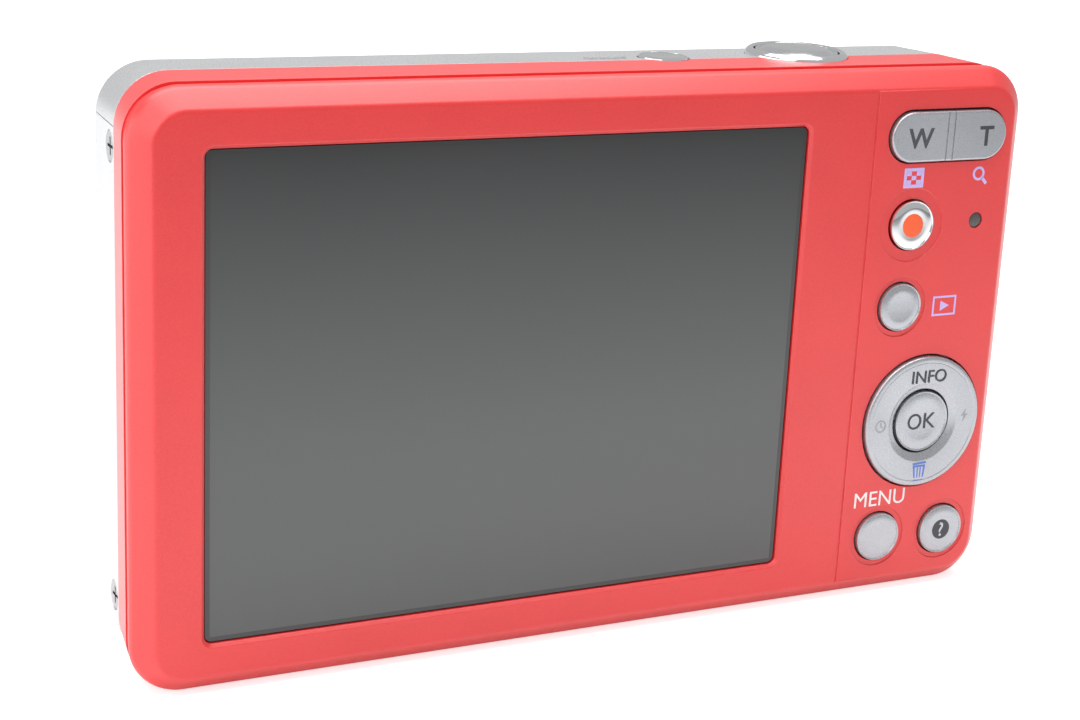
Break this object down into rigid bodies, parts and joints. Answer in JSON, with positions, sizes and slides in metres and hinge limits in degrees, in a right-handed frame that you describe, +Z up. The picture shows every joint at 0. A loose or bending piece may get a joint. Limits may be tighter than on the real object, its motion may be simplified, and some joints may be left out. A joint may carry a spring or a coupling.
{
  "type": "compact digital camera",
  "caption": "Pocket digital camera with a large rear screen, round rear keys, zoom rocker, retracting lens with barrier blades, and a hinged battery door.",
  "frame": {"origin": "middle of the flat base, at the parting plane of the rear and front halves", "axes": "+X to the right seen from behind, +Y forward along the lens axis, +Z up"},
  "size_m": [0.099, 0.0209, 0.0582],
  "materials": {
    "red_shell": "satin metallic red paint on moulded plastic",
    "red_panel": "satin metallic red paint on pressed aluminium",
    "silver_band": "fine satin silver",
    "screen_glass": "smoked clear acrylic, polished",
    "display": "dark polarised display",
    "white_plastic": "moulded white",
    "steel_sheet": "plain pressed steel",
    "circuit_board": "green solder mask",
    "silver_button": "satin silver paint",
    "bright_metal": "polished plating",
    "lamp_clear": "clear moulding",
    "lens_glass": "coated optical glass",
    "lens_metal": "satin anodised",
    "black_plastic": "moulded black",
    "gear_plastic": "natural acetal",
    "gear_brass": "plain",
    "motor_can": "plain",
    "strap_metal": "bright",
    "battery_case": "grey film",
    "orange_lever": "moulded"
  },
  "bodies": {
    "root": {"rear_cover": "red_shell", "front_cover": "red_panel", "top_cover": "silver_band", "left_side_plate": "silver_band", "right_side_plate": "silver_band", "bottom_cover": "silver_band", "screen_window": "screen_glass", "lcd_panel": "display", "backlight": "white_plastic", "chassis_plate": "steel_sheet", "main_board": "circuit_board", "key_board": "circuit_board", "key_domes": "steel_sheet", "top_board": "circuit_board", "speaker": "steel_sheet", "indicator_lamp": "lamp_clear", "shutter_ring": "bright_metal", "lens_base": "black_plastic", "zoom_motor": "motor_can", "image_sensor": "black_plastic", "lens_trim_ring": "lens_metal", "flash_window": "lamp_clear", "flash_reflector": "bright_metal", "flash_tube": "lamp_clear", "flash_capacitor": "black_plastic", "timer_lamp": "lamp_clear", "battery": "battery_case", "battery_holder": "black_plastic", "door_pin": "steel_sheet", "memory_card": "black_plastic", "card_slot": "steel_sheet", "usb_connector": "steel_sheet", "tripod_bush": "gear_brass", "strap_eyelet": "strap_metal", "case_screws": "bright_metal"},
    "record_button": {"record_button": "silver_button"},
    "playback_button": {"playback_button": "silver_button"},
    "menu_button": {"menu_button": "silver_button"},
    "guide_button": {"guide_button": "silver_button"},
    "ok_button": {"ok_button": "silver_button"},
    "pad_gimbal": {"pad_gimbal_ring": "black_plastic"},
    "arrow_pad": {"arrow_pad": "silver_button"},
    "zoom_rocker": {"zoom_rocker": "silver_button"},
    "shutter_button": {"shutter_button": "bright_metal"},
    "power_button": {"power_button": "silver_button"},
    "cam_drum": {"cam_drum": "black_plastic"},
    "idler_gear": {"idler_gear": "gear_plastic"},
    "motor_pinion": {"motor_pinion": "gear_brass"},
    "outer_barrel": {"outer_barrel": "lens_metal"},
    "inner_barrel": {"inner_barrel": "lens_metal", "front_lens": "lens_glass", "nose_plate": "black_plastic"},
    "left_blade": {"left_blade": "black_plastic"},
    "right_blade": {"right_blade": "black_plastic"},
    "focus_group": {"focus_holder": "black_plastic", "focus_lens": "lens_glass"},
    "battery_door": {"battery_door": "silver_band"},
    "door_catch": {"door_catch": "black_plastic"},
    "battery_latch": {"battery_latch": "orange_lever"},
    "port_cover": {"port_cover": "black_plastic"}
  },
  "joints": [
    {"name": "record_press", "type": "slide", "parent": "root", "child": "record_button", "axis": [0, 1, 0], "range_m": [0, 0.0003], "stiffness_N_per_m": 8},
    {"name": "playback_press", "type": "slide", "parent": "root", "child": "playback_button", "axis": [0, 1, 0], "range_m": [0, 0.0003], "stiffness_N_per_m": 8},
    {"name": "menu_press", "type": "slide", "parent": "root", "child": "menu_button", "axis": [0, 1, 0], "range_m": [0, 0.0003], "stiffness_N_per_m": 8},
    {"name": "guide_press", "type": "slide", "parent": "root", "child": "guide_button", "axis": [0, 1, 0], "range_m": [0, 0.0003], "stiffness_N_per_m": 8},
    {"name": "ok_press", "type": "slide", "parent": "root", "child": "ok_button", "axis": [0, 1, 0], "range_m": [0, 0.00025], "stiffness_N_per_m": 8},
    {"name": "pad_tilt_up_down", "type": "hinge", "parent": "root", "child": "pad_gimbal", "pos_m": [0.03795, -0.00725, 0.01943], "axis": [1, 0, 0], "range_deg": [-1.8, 1.8], "stiffness_Nm_per_rad": 0.0001},
    {"name": "pad_tilt_left_right", "type": "hinge", "parent": "pad_gimbal", "child": "arrow_pad", "pos_m": [0.03795, -0.00725, 0.01943], "axis": [0, 0, 1], "range_deg": [-1.8, 1.8], "stiffness_Nm_per_rad": 0.0001},
    {"name": "zoom_rock", "type": "hinge", "parent": "root", "child": "zoom_rocker", "pos_m": [0.03785, -0.00725, 0.05], "axis": [0, 0, 1], "range_deg": [-2.5, 2.5], "stiffness_Nm_per_rad": 0.0001},
    {"name": "shutter_press", "type": "slide", "parent": "root", "child": "shutter_button", "axis": [0, 0, -1], "range_m": [0, 0.0009], "stiffness_N_per_m": 8},
    {"name": "power_press", "type": "slide", "parent": "root", "child": "power_button", "axis": [0, 0, -1], "range_m": [0, 0.00035], "stiffness_N_per_m": 8},
    {"name": "drum_turn", "type": "hinge", "parent": "root", "child": "cam_drum", "pos_m": [-0.016, 0, 0.0285], "axis": [0, 1, 0], "range_deg": [0, 100]},
    {"name": "idler_turn", "type": "hinge", "parent": "root", "child": "idler_gear", "pos_m": [0.00124, -0.00225, 0.01404], "axis": [0, 1, 0], "range_deg": [-400, 0]},
    {"name": "pinion_turn", "type": "hinge", "parent": "root", "child": "motor_pinion", "pos_m": [0.00305, -0.00225, 0.00728], "axis": [0, 1, 0], "range_deg": [0, 720]},
    {"name": "outer_barrel_out", "type": "slide", "parent": "root", "child": "outer_barrel", "axis": [0, 1, 0], "range_m": [0, 0.009]},
    {"name": "inner_barrel_out", "type": "slide", "parent": "outer_barrel", "child": "inner_barrel", "axis": [0, 1, 0], "range_m": [0, 0.008]},
    {"name": "left_blade_open", "type": "hinge", "parent": "inner_barrel", "child": "left_blade", "pos_m": [-0.0174, 0.00865, 0.0381], "axis": [0, 1, 0], "range_deg": [0, 31]},
    {"name": "right_blade_open", "type": "hinge", "parent": "inner_barrel", "child": "right_blade", "pos_m": [-0.0146, 0.00865, 0.0189], "axis": [0, 1, 0], "range_deg": [0, 31]},
    {"name": "focus_shift", "type": "slide", "parent": "root", "child": "focus_group", "axis": [0, 1, 0], "range_m": [0, 0.0012]},
    {"name": "battery_door_swing", "type": "hinge", "parent": "root", "child": "battery_door", "pos_m": [0.01295, 0.00165, 0.00095], "axis": [0, 1, 0], "range_deg": [0, 95]},
    {"name": "door_catch_slide", "type": "slide", "parent": "battery_door", "child": "door_catch", "axis": [-1, 0, 0], "range_m": [0, 0.002]},
    {"name": "battery_latch_slide", "type": "slide", "parent": "root", "child": "battery_latch", "axis": [0, 1, 0], "range_m": [0, 0.0013]},
    {"name": "port_cover_swing", "type": "hinge", "parent": "root", "child": "port_cover", "pos_m": [-0.033, 0.0057, 0.0006], "axis": [1, 0, 0], "range_deg": [0, 90]}
  ],
  "couplings": [
    {"joint": "drum_turn", "follows": "outer_barrel_out", "rad_per_m": 193.93},
    {"joint": "idler_turn", "follows": "outer_barrel_out", "rad_per_m": -775.7},
    {"joint": "pinion_turn", "follows": "outer_barrel_out", "rad_per_m": 1396.3},
    {"joint": "inner_barrel_out", "follows": "outer_barrel_out", "ratio": 0.88889},
    {"joint": "left_blade_open", "follows": "outer_barrel_out", "rad_per_m": 60.117},
    {"joint": "right_blade_open", "follows": "outer_barrel_out", "rad_per_m": 60.117}
  ]
}
